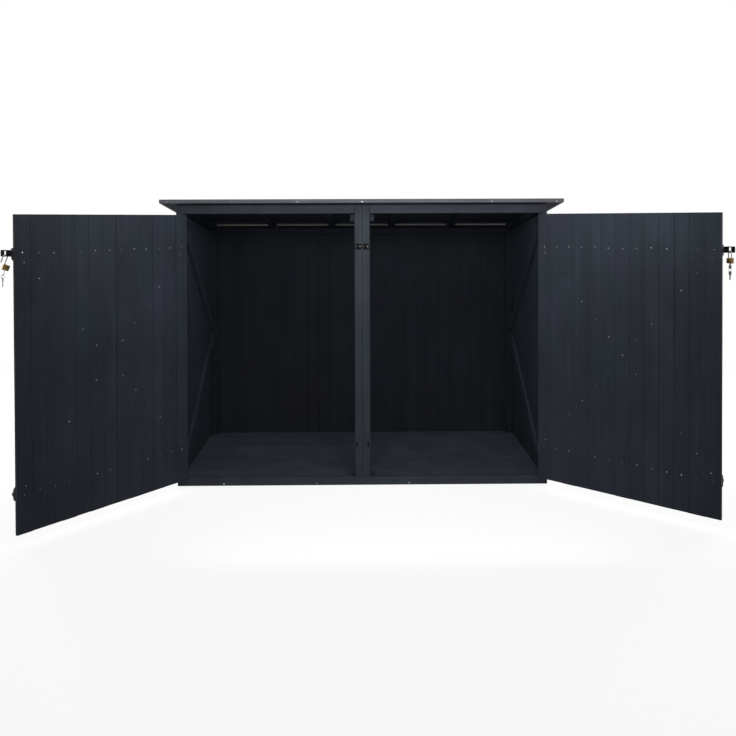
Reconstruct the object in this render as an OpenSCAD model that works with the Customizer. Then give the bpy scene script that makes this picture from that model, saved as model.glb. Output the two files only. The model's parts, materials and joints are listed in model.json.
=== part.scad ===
// Timber bike shelter with two ledged and cross-braced doors and a pent roof.
// Millimetres, +Z up. The origin is on the ground, under the middle of the front sill's face.
// +X runs to the right seen from the front, +Y runs to the back.

/* [Shelter] */
// Width over the front frame
body_w = 1900; // [1600:10:2400]
// Depth from the front frame's face to the back wall's outer face
body_d = 850; // [700:10:1200]
// Height of the roof's underside over the front frame's face
front_h = 1441; // [1200:1:1800]
// Fall of the roof towards the back, in degrees
roof_slope = 7.3; // [3:0.1:12]

/* [Frame timber] */
// Visible width of each front corner post
post_w = 29.5; // [25:0.5:60]
// Depth of the front sill, posts and header
frame_d = 45; // [44:1:70]
// Height of the front sill
sill_h = 40; // [38:1:80]
// Height of the header over the doors
header_h = 44; // [30:1:120]
// Width of each of the two centre uprights
upright_w = 39; // [30:1:60]
// Width of the door stops behind the centre uprights
stop_w = 124; // [110:1:180]
// Height of the door stops
stop_h = 41; // [25:1:80]
// Depth of the door stops
stop_d = 20; // [12:1:40]
// Side of the square back corner posts and width of the side top rails
back_post_w = 36; // [30:1:60]
// Height of the top rails along the side and back walls
top_rail_h = 40; // [30:1:70]
// Width of the diagonal braces inside the side walls
wall_brace_w = 60; // [40:1:90]
// Thickness of the diagonal braces inside the side walls
wall_brace_t = 16; // [10:1:30]

/* [Cladding and floor] */
// Thickness of the wall boards
wall_t = 16; // [12:1:28]
// Thickness of the floor boards
floor_t = 16; // [12:1:18]
// Height of the floor bearers
bearer_h = 20; // [15:1:20]
// Width of the floor bearers
bearer_w = 45; // [30:1:80]
// Spacing of the four floor bearers
bearer_pitch = 475; // [350:5:480]

/* [Roof] */
// Overhang of the roof at each side
side_overhang = 70; // [30:1:150]
// Overhang of the roof at the front
front_overhang = 60; // [30:1:150]
// Overhang of the roof at the back
back_overhang = 60; // [30:1:150]
// Thickness of the roof boards
deck_t = 14; // [10:1:25]
// Thickness of the roofing felt
felt_t = 3; // [2:0.5:5]
// Thickness of the roof's edge trims
trim_t = 18; // [12:1:30]
// Height of the front and side trims
trim_h = 20; // [18:1:60]
// Height of the back trim
eaves_h = 36; // [20:1:80]
// Width of the roof battens
rafter_w = 40; // [25:1:60]
// Height of the roof battens
rafter_h = 18; // [12:1:30]
// Spacing of the four roof battens
rafter_pitch = 367; // [250:1:400]

/* [Doors] */
// Opening angle of the left door
left_open = 130; // [0:1:170]
// Opening angle of the right door
right_open = 140; // [0:1:170]
// Thickness of the door boards
door_board_t = 16; // [12:1:22]
// Thickness of the ledges and braces on the door's outer face
ledge_t = 20; // [15:1:20]
// Height of the door ledges
ledge_h = 45; // [42:1:140]
// Chamfer along the ledges' outer edges
ledge_chamfer = 4; // [1:0.5:4]
// Width of the door's diagonal braces
door_brace_w = 45; // [35:1:100]
// Distance of the upper ledge's middle below the door opening's top
top_ledge_down = 170; // [80:1:400]
// Height of the lower ledge's middle above the sill
low_ledge_up = 171; // [80:1:400]
// Gap between a door and the frame all round
door_gap = 6; // [5:0.5:10]

/* [Door hinges] */
// Height of each hinge
hinge_h = 34; // [28:1:34]
// Length of the hinge leaf on the door
door_leaf_l = 70; // [40:1:120]
// Thickness of the hinge leaves
leaf_t = 2.5; // [2:0.5:4]
// Radius of the hinge knuckle
knuckle_r = 5; // [4:0.5:7]
// Radius of the hinge pin
pin_r = 2.5; // [2:0.1:3]

/* [Hasps and padlocks] */
// Angle of the left hasp's strap from its door's plane
left_hasp_open = 68; // [40:1:80]
// Angle of the right hasp's strap from its door's plane
right_hasp_open = 45; // [40:1:80]
// Height of the hasp's door plate
hasp_plate_h = 34; // [30:1:36]
// Length of the hasp's door plate
hasp_plate_l = 42; // [30:1:60]
// Height of the hasp strap
strap_h = 28; // [26:1:34]
// Length of the hasp strap from its pin
strap_l = 54; // [50:1:70]
// Thickness of the hasp's strap and plates
strap_t = 2.5; // [2:0.5:3]
// Distance of the slot's middle from the hasp's pin
slot_x = 31; // [29:1:36]
// Width of the slot
slot_w = 10; // [9:0.5:12]
// Height of the slot
slot_h = 20; // [16:1:22]
// Side of the square staple plates
staple_w = 31; // [26:1:34]
// Radius of the staple's wire
staple_r = 1.6; // [1.2:0.1:2]
// Reach of the staple's eye in front of its plate
staple_reach = 9.5; // [8:0.5:11]
// Width of the padlock body
lock_w = 28; // [24:1:36]
// Height of the padlock body
lock_h = 25; // [22:1:34]
// Thickness of the padlock body
lock_t = 13; // [11:1:16]
// Spacing of the shackle's legs
shackle_w = 17; // [14:1:18]
// Radius of the shackle's wire
shackle_r = 2.5; // [2:0.1:2.8]
// Clear height of the shackle above the padlock body
shackle_clear = 27; // [20:1:34]
// Depth of the shackle's short leg in the locked padlock
shackle_in = 7; // [5:1:9]
// Rise of the shackle when the padlock is open
shackle_pop = 8; // [6:1:9]
// Diameter of a key's bow
key_bow_d = 16; // [14:1:24]
// Length of a key's blade
key_blade_l = 20; // [15:1:30]
// Width of a key's blade
key_blade_w = 6; // [5:0.5:9]
// Thickness of a key
key_t = 2; // [1.5:0.1:2.5]
// Diameter of the key ring's middle line
key_ring_d = 14; // [10:1:26]

/* [Barrel bolts] */
// Height of the bolt's plate
bolt_plate_h = 34; // [28:1:36]
// Thickness of the bolt's plate
bolt_plate_t = 2; // [1.5:0.5:3]
// Radius of the bolt's rod
rod_r = 4; // [3:0.5:5]
// Wall of the bolt's guides
guide_wall = 2; // [1.5:0.5:3]
// Length of each of the bolt's guides
guide_l = 14; // [10:1:20]
// Radius of the bolt's knob
knob_r = 5; // [4:0.5:7]
// Length of the bolt's knob from the rod's axis
knob_l = 18; // [12:1:24]
// Travel of the bolt
bolt_travel = 24; // [20:1:26]
// Radius of the keeper's wire
keeper_r = 2; // [1.5:0.1:2.5]

/* [Hidden] */
$fn = 48;

LEFT = -1;
RIGHT = 1;

// Colours
stained = "#3c4248";
stained_dark = "#2c3136";
trim_grey = "#565c62";
felt_grey = "#2f3235";
black_metal = "#17181a";
zinc = "#aab0b4";
brass = "#b08d3c";

// Running clearances
pin_fit = 0.08;
knuckle_fit = 0.3;
seat_fit = 0.3;
knuckle_stand = 0.5;
knob_clear = 5;
keeper_clear = 1.5;

// Overshoot of cutting shapes
over = 2;

// Set-back of the centre uprights' rear faces from the frame's
upright_set_back = 2;

// Lift of the roof boards and felt off what they lie on
roof_seat = 0.05;

// Heights and faces that several pieces share
half_w = body_w / 2;
upright_d = frame_d - upright_set_back;
header_z = front_h - header_h;
top_ledge_z = header_z - top_ledge_down;
low_ledge_z = sill_h + low_ledge_up;
wall_in_x = half_w - wall_t;
back_in_y = body_d - wall_t;
floor_z = bearer_h + floor_t;
roof_fall = tan(roof_slope);
roof_half_w = half_w + side_overhang;
roof_back_y = body_d + back_overhang;
back_wall_h = front_h - body_d * roof_fall - rafter_h;

// Doors, in the frame of a closed left door: pivot at the origin, +X to the free edge, +Y inwards
pivot_out = knuckle_r + knuckle_stand;
pivot_x = half_w - post_w - door_gap / 2;
door_x0 = door_gap / 2;
door_w = half_w - post_w - upright_w - 2 * door_gap;
door_x1 = door_x0 + door_w;
door_z0 = sill_h + door_gap;
door_z1 = header_z - door_gap;
ledge_y = pivot_out;
board_y = ledge_y + ledge_t;
ledge_heights = [low_ledge_z, top_ledge_z];
brace_z0 = low_ledge_z + ledge_h / 2;
brace_rise = top_ledge_z - low_ledge_z - ledge_h;
brace_lean = atan(brace_rise / door_w) + asin(door_brace_w / norm([door_w, brace_rise]));
brace_cut = door_brace_w / sin(brace_lean);

// Hasp, in the door's frame
hasp_knuckle_r = 3.5;
hasp_pin_r = 1.8;
hasp_knuckle_h = strap_h / 3;
hasp_pin_x = door_x1 - hasp_knuckle_r;
hasp_pin_y = ledge_y - hasp_knuckle_r - seat_fit;
plate_corner_r = 4;
staple_eye_r = 5.5;

// Bolt, in the door's frame: the plate with a guide at each end, and the knob's way between them
bolt_inset = 1;
guide_inset = 8;
rod_held = 8;
rod_past_keeper = 6;
bolt_plate_l = guide_inset + 2 * guide_l + 2 * knob_clear + 2 * knob_r + bolt_travel;
bolt_x1 = door_x1 - bolt_inset;
bolt_x0 = bolt_x1 - bolt_plate_l;
back_guide_x1 = bolt_x0 + guide_inset + guide_l;
rod_y = ledge_y - bolt_plate_t - rod_r - seat_fit;
rod_x0 = back_guide_x1 - rod_held - bolt_travel;
rod_x1 = bolt_x1 - bolt_inset;
knob_x = back_guide_x1 + knob_clear + knob_r;
keeper_loop_r = rod_r + keeper_r + keeper_clear;
keeper_x = pivot_x - rod_x1 - bolt_travel + rod_past_keeper;

// Padlocks, hung from the straps' slots: the left one is open, its body swung to the door's side
shackle_arch_r = shackle_w / 2;
shackle_rise = 0.6;
open_lock_tilt = 21;
left_lock_turn = 28;
right_lock_turn = 15;
lock_corner_r = 3;
lock_edge_r = 4;
key_hole_edge = 3.5;
key_hole_in = key_bow_d / 2 - key_hole_edge;
key_hole_r = 2;
key_neck = 3;
key_shoulder = 5;
key_cut = 1.6;
key_cuts = 4;
key_ring_wire_r = 0.8;

// Height of the roof's underside at a depth
function roof_z(y) = front_h - y * roof_fall;

// Opening angle of the door on a side
function open_angle(side) = side == LEFT ? left_open : right_open;

// Angle of the hasp's strap on a side from its door's plane
function strap_angle(side) = side == LEFT ? left_hasp_open : right_hasp_open;

// Turn of the padlock on a side about its shackle, from the strap's normal
function lock_turn(side) = side == LEFT ? left_lock_turn : right_lock_turn;

// Tilt, drop and sideways swing of the padlock on a side, which is open at the left
function lock_tilt(side) = side == LEFT ? open_lock_tilt : 0;
function lock_drop(side) = shackle_clear + (side == LEFT ? shackle_pop : 0);
function lock_swing(side) = side == LEFT ? -shackle_w : 0;

// A bar along X whose profile is given as [y, z] points
module x_bar(x0, x1, points) {
    translate([x0, 0, 0])
        rotate([90, 0, 90])
            linear_extrude(x1 - x0)
                polygon(points);
}

// A slab that follows the roof, from its lower face's offset over the roof's underside
module roof_slab(x0, x1, y0, y1, lift, t) {
    x_bar(x0, x1, [
        [y0, roof_z(y0) + lift],
        [y1, roof_z(y1) + lift],
        [y1, roof_z(y1) + lift + t],
        [y0, roof_z(y0) + lift + t]
    ]);
}

// An upright bar whose top meets the roof's underside
module to_roof(x0, x1, y0, y1, z0) {
    x_bar(x0, x1, [[y0, z0], [y1, z0], [y1, roof_z(y1)], [y0, roof_z(y0)]]);
}

// Draws its children at the left, or mirrored at the right
module on_side(side) {
    mirror([side == RIGHT ? 1 : 0, 0, 0])
        children();
}

// Places pieces drawn in a closed left door's frame on a door as it stands open
module on_door(side) {
    on_side(side)
        translate([-pivot_x, -pivot_out, 0])
            rotate([0, 0, -open_angle(side)])
                children();
}

// Places pieces drawn along +X from a hasp's pin on the strap as it stands
module on_strap(side) {
    on_door(side)
        translate([hasp_pin_x, hasp_pin_y, top_ledge_z])
            rotate([0, 0, -strap_angle(side)])
                children();
}

// A plate with round corners in the XZ plane, from y to y + t
module round_plate(x0, x1, h, y, t, r) {
    translate([0, y + t, 0])
        rotate([90, 0, 0])
            linear_extrude(t) {
                translate([x0 + r, -h / 2])
                    square([x1 - x0 - 2 * r, h]);
                translate([x0, -h / 2 + r])
                    square([x1 - x0, h - 2 * r]);
                for (x = [x0 + r, x1 - r], z = [-h / 2 + r, h / 2 - r])
                    translate([x, z])
                        circle(r);
            }
}

// Half a ring of wire in the YZ plane, open downwards, around the origin
module wire_arch(radius, wire) {
    rotate([90, 0, 90])
        rotate_extrude(angle = 180)
            translate([radius, 0])
                circle(wire);
}

// A standing loop of wire on a face at y = 0: two legs and an arch, around a way along X
module wire_loop(radius, wire, leg) {
    translate([0, -leg, 0])
        rotate([90, 0, 0])
            wire_arch(radius, wire);
    for (z = [-radius, radius])
        translate([0, 0, z])
            rotate([90, 0, 0])
                cylinder(r = wire, h = leg);
}

// Floor and frame

module floor_deck() {
    color(stained)
        translate([-wall_in_x, frame_d, bearer_h])
            cube([2 * wall_in_x, back_in_y - frame_d, floor_t]);
}

module floor_bearers() {
    color(stained_dark)
        for (i = [-1.5 : 1.5])
            translate([i * bearer_pitch - bearer_w / 2, frame_d, 0])
                cube([bearer_w, back_in_y - frame_d, bearer_h]);
}

module front_sill() {
    color(stained)
        translate([-half_w, 0, 0])
            cube([body_w, frame_d, sill_h]);
}

module front_post(side) {
    color(stained)
        on_side(side)
            translate([-half_w, 0, sill_h])
                cube([post_w, frame_d, header_z - sill_h]);
}

module back_posts() {
    color(stained_dark)
        for (side = [LEFT, RIGHT])
            on_side(side)
                to_roof_below(-wall_in_x, -wall_in_x + back_post_w, back_in_y - back_post_w, back_in_y);
}

// A post from the floor to the underside of the side top rail
module to_roof_below(x0, x1, y0, y1) {
    x_bar(x0, x1, [
        [y0, floor_z],
        [y1, floor_z],
        [y1, roof_z(y1) - top_rail_h],
        [y0, roof_z(y0) - top_rail_h]
    ]);
}

module centre_upright(side) {
    color(stained)
        on_side(side)
            to_roof(-upright_w, 0, 0, upright_d, sill_h);
}

module front_header() {
    color(stained)
        for (side = [LEFT, RIGHT])
            on_side(side)
                to_roof(-half_w, -upright_w, 0, frame_d, header_z);
}

module door_stops() {
    color(stained_dark)
        for (z = [sill_h, header_z - stop_h])
            translate([-stop_w / 2, upright_d, z])
                cube([stop_w, stop_d, stop_h]);
}

// Walls

module side_wall(side) {
    color(stained)
        on_side(side)
            to_roof(-half_w, -wall_in_x, frame_d, back_in_y, 0);
}

module back_wall() {
    color(stained)
        translate([-half_w, back_in_y, 0])
            cube([body_w, wall_t, back_wall_h]);
}

module side_top_rails() {
    color(stained_dark)
        for (side = [LEFT, RIGHT])
            on_side(side)
                roof_slab(-wall_in_x, -wall_in_x + back_post_w, frame_d, back_in_y, -top_rail_h, top_rail_h);
}

module back_top_rail() {
    rail_x = wall_in_x - back_post_w;
    color(stained_dark)
        translate([-rail_x, back_in_y - back_post_w, back_wall_h - top_rail_h])
            cube([2 * rail_x, back_post_w, top_rail_h]);
}

// Two diagonals a side, from the front's top and foot to the middle of the back post
module side_wall_braces() {
    y0 = frame_d;
    y1 = back_in_y - back_post_w;
    mid_z = (floor_z + roof_z(y1) - top_rail_h) / 2;
    cut_h = wall_brace_w / cos(atan((mid_z - floor_z) / (y1 - y0)));
    color(stained_dark)
        for (side = [LEFT, RIGHT])
            on_side(side) {
                top_z = roof_z(y0) - top_rail_h - seat_fit;
                x_bar(-wall_in_x, -wall_in_x + wall_brace_t, [
                    [y0, top_z - cut_h],
                    [y1, mid_z + seat_fit],
                    [y1, mid_z + cut_h],
                    [y0, top_z]
                ]);
                x_bar(-wall_in_x, -wall_in_x + wall_brace_t, [
                    [y0, floor_z],
                    [y1, mid_z - cut_h],
                    [y1, mid_z - seat_fit],
                    [y0, floor_z + cut_h]
                ]);
            }
}

// Roof

module rafters() {
    color(stained_dark)
        for (i = [-1.5 : 1.5]) {
            x = i * rafter_pitch;
            roof_slab(x - rafter_w / 2, x + rafter_w / 2, frame_d, roof_back_y - trim_t, -rafter_h, rafter_h);
        }
}

module roof_deck() {
    x = roof_half_w - trim_t;
    color(stained_dark)
        roof_slab(-x, x, trim_t - front_overhang, roof_back_y - trim_t, roof_seat, deck_t);
}

module roof_felt() {
    x = roof_half_w - trim_t;
    color(felt_grey)
        roof_slab(-x, x, trim_t - front_overhang, roof_back_y - trim_t, deck_t + 2 * roof_seat, felt_t);
}

module roof_trim_front() {
    color(trim_grey)
        roof_slab(-roof_half_w, roof_half_w, -front_overhang, trim_t - front_overhang, 0, trim_h);
}

module roof_trim_side(side) {
    color(trim_grey)
        on_side(side)
            roof_slab(-roof_half_w, trim_t - roof_half_w, trim_t - front_overhang, roof_back_y - trim_t, 0, trim_h);
}

module roof_trim_back() {
    color(trim_grey)
        roof_slab(-roof_half_w, roof_half_w, roof_back_y - trim_t, roof_back_y, trim_h - eaves_h, eaves_h);
}

// Fittings on the frame

// A plate with a standing eye of wire, on each centre upright
module hasp_staples() {
    gap_to_joint = (upright_w - staple_w) / 2;
    leg = staple_reach - staple_eye_r - staple_r;
    color(black_metal)
        for (side = [LEFT, RIGHT])
            on_side(side)
                translate([-staple_w / 2 - gap_to_joint, 0, top_ledge_z]) {
                    round_plate(-staple_w / 2, staple_w / 2, staple_w, -strap_t, strap_t, plate_corner_r);
                    wire_loop(staple_eye_r, staple_r, leg + strap_t);
                }
}

// A loop of wire for the bolt on each centre upright
module bolt_keepers() {
    color(black_metal)
        for (side = [LEFT, RIGHT])
            on_side(side)
                translate([-keeper_x, 0, low_ledge_z])
                    wire_loop(keeper_loop_r, keeper_r, pivot_out - rod_y);
}

// Upper and lower knuckles with the pin, and the leaf on the post
module post_hinge_leaves() {
    color(zinc)
        for (side = [LEFT, RIGHT], z = ledge_heights)
            on_side(side)
                translate([-pivot_x, -pivot_out, z - hinge_h / 2])
                    difference() {
                        union() {
                            cylinder(r = knuckle_r, h = hinge_h);
                            translate([-post_w, ledge_y - leaf_t, 0])
                                cube([post_w, leaf_t, hinge_h]);
                        }
                        translate([0, 0, hinge_h / 3])
                            difference() {
                                cylinder(r = knuckle_r + over, h = hinge_h / 3);
                                cylinder(r = pin_r, h = hinge_h / 3);
                            }
                    }
}

// Doors

module door_boards(side) {
    color(stained)
        on_door(side)
            translate([door_x0, board_y, door_z0])
                cube([door_w, door_board_t, door_z1 - door_z0]);
}

module door_ledges(side) {
    face_h = ledge_h / 2 - ledge_chamfer;
    color(stained)
        on_door(side)
            for (z = ledge_heights)
                translate([0, ledge_y, z])
                    x_bar(door_x0, door_x1, [
                        [ledge_t, -ledge_h / 2],
                        [ledge_t, ledge_h / 2],
                        [ledge_chamfer, ledge_h / 2],
                        [0, face_h],
                        [0, -face_h],
                        [ledge_chamfer, -ledge_h / 2]
                    ]);
}

// Places an outline drawn between the ledges, from the hinge side's lower corner, as a brace
module between_ledges(side) {
    color(stained)
        on_door(side)
            translate([door_x0, ledge_y + ledge_t, brace_z0])
                rotate([90, 0, 0])
                    linear_extrude(ledge_t)
                        children();
}

// Outline of a diagonal from the hinge side's lower corner to the free side's upper one, wider by a gap each side
module diagonal(gap = 0) {
    out = gap / sin(brace_lean);
    polygon([
        [-out, 0],
        [brace_cut + out, 0],
        [door_w + out, brace_rise],
        [door_w - brace_cut - out, brace_rise]
    ]);
}

// The brace that runs through from ledge to ledge
module door_brace(side) {
    between_ledges(side)
        diagonal();
}

// The two halves of the crossing brace, butted against the one that runs through
module door_half_braces(side) {
    between_ledges(side)
        difference() {
            translate([door_w, 0])
                mirror([1, 0])
                    diagonal();
            diagonal(seat_fit);
        }
}

// Middle knuckle and the leaf on the door's ledge
module door_hinge_leaves(side) {
    band = hinge_h / 3;
    leaf_x0 = knuckle_r + knuckle_stand;
    color(zinc)
        on_door(side)
            for (z = ledge_heights)
                translate([0, 0, z])
                    difference() {
                        union() {
                            translate([0, 0, knuckle_fit - band / 2])
                                cylinder(r = knuckle_r, h = band - 2 * knuckle_fit);
                            translate([0, ledge_y - leaf_t, knuckle_fit - band / 2])
                                cube([leaf_x0 + over, leaf_t, band - 2 * knuckle_fit]);
                            translate([leaf_x0, ledge_y - leaf_t, -hinge_h / 2])
                                cube([door_leaf_l - leaf_x0, leaf_t, hinge_h]);
                        }
                        translate([0, 0, -hinge_h])
                            cylinder(r = pin_r + pin_fit, h = 2 * hinge_h);
                    }
}

// Plate, outer knuckles and pin of a hasp
module hasp_plate(side) {
    color(black_metal)
        on_door(side)
            translate([0, 0, top_ledge_z])
                difference() {
                    union() {
                        round_plate(hasp_pin_x - hasp_plate_l, hasp_pin_x, hasp_plate_h,
                            ledge_y - strap_t, strap_t, plate_corner_r);
                        translate([hasp_pin_x, hasp_pin_y, -strap_h / 2])
                            cylinder(r = hasp_knuckle_r, h = strap_h);
                    }
                    translate([hasp_pin_x, hasp_pin_y, -hasp_knuckle_h / 2])
                        difference() {
                            cylinder(r = hasp_knuckle_r + over, h = hasp_knuckle_h);
                            cylinder(r = hasp_pin_r, h = hasp_knuckle_h);
                        }
                }
}

// Plate with two guides for the rod
module bolt_guide(side) {
    guide_r = rod_r + pin_fit + guide_wall;
    color(black_metal)
        on_door(side)
            translate([0, 0, low_ledge_z])
                difference() {
                    union() {
                        round_plate(bolt_x0, bolt_x1, bolt_plate_h,
                            ledge_y - bolt_plate_t, bolt_plate_t, plate_corner_r);
                        for (x = [bolt_x0 + guide_inset, bolt_x1 - guide_l])
                            translate([x, rod_y, 0]) {
                                rotate([0, 90, 0])
                                    cylinder(r = guide_r, h = guide_l);
                                translate([0, 0, -guide_r])
                                    cube([guide_l, ledge_y - bolt_plate_t / 2 - rod_y, 2 * guide_r]);
                            }
                    }
                    translate([bolt_x0 - over, rod_y, 0])
                        rotate([0, 90, 0])
                            cylinder(r = rod_r + pin_fit, h = bolt_plate_l + 2 * over);
                }
}

// Parts that move on the doors

// Middle knuckle and slotted strap of a hasp, along +X from the pin
module hasp_strap(side) {
    band = hasp_knuckle_h - 2 * knuckle_fit;
    strap_x0 = hasp_knuckle_r + knuckle_stand;
    color(black_metal)
        on_strap(side)
            difference() {
                union() {
                    translate([0, 0, -band / 2])
                        cylinder(r = hasp_knuckle_r, h = band);
                    translate([0, -strap_t / 2, -band / 2])
                        cube([strap_x0 + over, strap_t, band]);
                    round_plate(strap_x0, strap_l, strap_h, -strap_t / 2, strap_t, plate_corner_r);
                }
                translate([0, 0, -strap_h])
                    cylinder(r = hasp_pin_r + pin_fit, h = 2 * strap_h);
                translate([slot_x - slot_w / 2, -strap_t, -slot_h / 2])
                    cube([slot_w, 2 * strap_t, slot_h]);
            }
}

// Places pieces drawn around the middle of the shackle's arch, which sits on the slot's lower end
module on_shackle(side) {
    on_strap(side)
        translate([slot_x, 0, shackle_rise + seat_fit + shackle_r - slot_h / 2 - shackle_arch_r])
            rotate([0, 0, -lock_turn(side)])
                rotate([lock_tilt(side), 0, 0])
                    children();
}

// Places pieces drawn under the middle of the padlock's top face
module on_lock(side) {
    on_shackle(side)
        translate([0, lock_swing(side), shackle_arch_r - shackle_r - lock_drop(side)])
            rotate([0, 0, side == LEFT ? 180 : 0])
                children();
}

// Arch with a short leg and a long one, which stays in the body when the padlock is open
module shackle(side) {
    short_l = shackle_clear + shackle_in + shackle_r - shackle_arch_r;
    color(zinc)
        on_shackle(side) {
            wire_arch(shackle_arch_r, shackle_r);
            translate([0, shackle_arch_r, -short_l])
                cylinder(r = shackle_r, h = short_l);
            translate([0, -shackle_arch_r, -short_l - shackle_pop])
                cylinder(r = shackle_r, h = short_l + shackle_pop);
        }
}

// Body with round upright edges and a bore for each leg
module padlock(side) {
    bore_r = shackle_r + seat_fit;
    short_bore = shackle_in + seat_fit;
    color(brass)
        on_lock(side)
            difference() {
                intersection() {
                    translate([0, 0, -lock_h / 2])
                        rotate([0, 0, 90])
                            round_plate(-lock_w / 2, lock_w / 2, lock_h, -lock_t / 2, lock_t, lock_corner_r);
                    translate([0, 0, -lock_h / 2])
                        rotate([0, 90, 0])
                            round_plate(-lock_h / 2, lock_h / 2, lock_t, -lock_w / 2, lock_w, lock_edge_r);
                }
                translate([0, shackle_arch_r, -short_bore])
                    cylinder(r = bore_r, h = short_bore + over);
                translate([0, -shackle_arch_r, -short_bore - shackle_pop])
                    cylinder(r = bore_r, h = short_bore + shackle_pop + over);
            }
}

// Outline of a key's bow and shoulders, hole at the origin
module key_bow() {
    difference() {
        union() {
            translate([0, -key_hole_in])
                circle(d = key_bow_d);
            polygon([
                [-key_bow_d / 2, -key_hole_in],
                [key_bow_d / 2, -key_hole_in],
                [key_blade_w / 2, -key_hole_in - key_bow_d / 2 - key_shoulder],
                [-key_blade_w / 2, -key_hole_in - key_bow_d / 2 - key_shoulder]
            ]);
        }
        circle(key_hole_r);
    }
}

// Outline of a key's blade down from its shoulders, with cuts along one edge
module key_blade() {
    pitch = key_blade_l / (key_cuts + 1);
    difference() {
        translate([-key_blade_w / 2, -key_blade_l])
            square([key_blade_w, key_blade_l]);
        for (i = [1 : key_cuts])
            translate([key_blade_w / 2, -i * pitch - pitch / 2])
                rotate([0, 0, 45])
                    square(key_cut * sqrt(2), center = true);
    }
}

// An outline in the XZ plane as a flat key
module key_plate() {
    translate([0, key_t / 2, 0])
        rotate([90, 0, 0])
            linear_extrude(key_t)
                children();
}

// One key's bow under the lock, a ring through it, and the second key hanging from the ring
module keys(side) {
    hole_z = -lock_h - key_neck - key_bow_d - key_shoulder + key_hole_edge;
    ring_r = key_ring_d / 2;
    tilt = lock_tilt(side);
    hang = key_hole_r - key_ring_wire_r - seat_fit;
    tilted_hang = key_hole_r - key_ring_wire_r / cos(tilt) - seat_fit - tan(tilt) * key_t / 2;
    blade_top = -key_hole_in - key_bow_d / 2 - key_shoulder;
    color(zinc)
        on_lock(side)
            translate([0, 0, hole_z]) {
                key_plate() {
                    mirror([0, 1])
                        key_bow();
                    translate([-key_blade_w / 2, -blade_top - over])
                        square([key_blade_w, key_neck + over]);
                }
                rotate([tilt, 0, 0]) {
                    translate([0, 0, -tilted_hang - ring_r])
                        rotate([90, 0, 90])
                            rotate_extrude()
                                translate([ring_r, 0])
                                    circle(key_ring_wire_r);
                    translate([0, 0, -tilted_hang - hang - key_ring_d])
                        key_plate() {
                            key_bow();
                            translate([0, blade_top + over])
                                key_blade();
                        }
                }
            }
}

module bolt_rod(side) {
    color(black_metal)
        on_door(side)
            translate([0, rod_y, low_ledge_z]) {
                translate([rod_x0, 0, 0])
                    rotate([0, 90, 0])
                        cylinder(r = rod_r, h = rod_x1 - rod_x0);
                translate([knob_x, 0, 0])
                    rotate([90, 0, 0])
                        cylinder(r = knob_r, h = knob_l);
            }
}

floor_deck();
floor_bearers();
front_sill();
front_post(LEFT);  // front_post_left
front_post(RIGHT);  // front_post_right
back_posts();
centre_upright(LEFT);  // centre_upright_left
centre_upright(RIGHT);  // centre_upright_right
front_header();
door_stops();
side_wall(LEFT);  // left_wall
side_wall(RIGHT);  // right_wall
back_wall();
side_top_rails();
back_top_rail();
side_wall_braces();
rafters();
roof_deck();
roof_felt();
roof_trim_front();
roof_trim_side(LEFT);  // roof_trim_left
roof_trim_side(RIGHT);  // roof_trim_right
roof_trim_back();
hasp_staples();
bolt_keepers();
post_hinge_leaves();
door_boards(LEFT);  // left_door_boards
door_ledges(LEFT);  // left_door_ledges
door_brace(LEFT);  // left_door_brace
door_half_braces(LEFT);  // left_door_half_braces
door_hinge_leaves(LEFT);  // left_door_hinge_leaves
hasp_plate(LEFT);  // left_hasp_plate
bolt_guide(LEFT);  // left_bolt_guide
door_boards(RIGHT);  // right_door_boards
door_ledges(RIGHT);  // right_door_ledges
door_brace(RIGHT);  // right_door_brace
door_half_braces(RIGHT);  // right_door_half_braces
door_hinge_leaves(RIGHT);  // right_door_hinge_leaves
hasp_plate(RIGHT);  // right_hasp_plate
bolt_guide(RIGHT);  // right_bolt_guide
hasp_strap(LEFT);  // left_hasp_strap
padlock(LEFT);  // left_padlock
shackle(LEFT);  // left_shackle
keys(LEFT);  // left_keys
hasp_strap(RIGHT);  // right_hasp_strap
padlock(RIGHT);  // right_padlock
shackle(RIGHT);  // right_shackle
keys(RIGHT);  // right_keys
bolt_rod(LEFT);  // left_bolt_rod
bolt_rod(RIGHT);  // right_bolt_rod
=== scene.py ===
"""Looks of a timber bike shelter: boards, nails, screws, finishes, light and camera."""
import json
import math
import random

import bmesh
import bpy
from mathutils import Matrix, Vector

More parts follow.
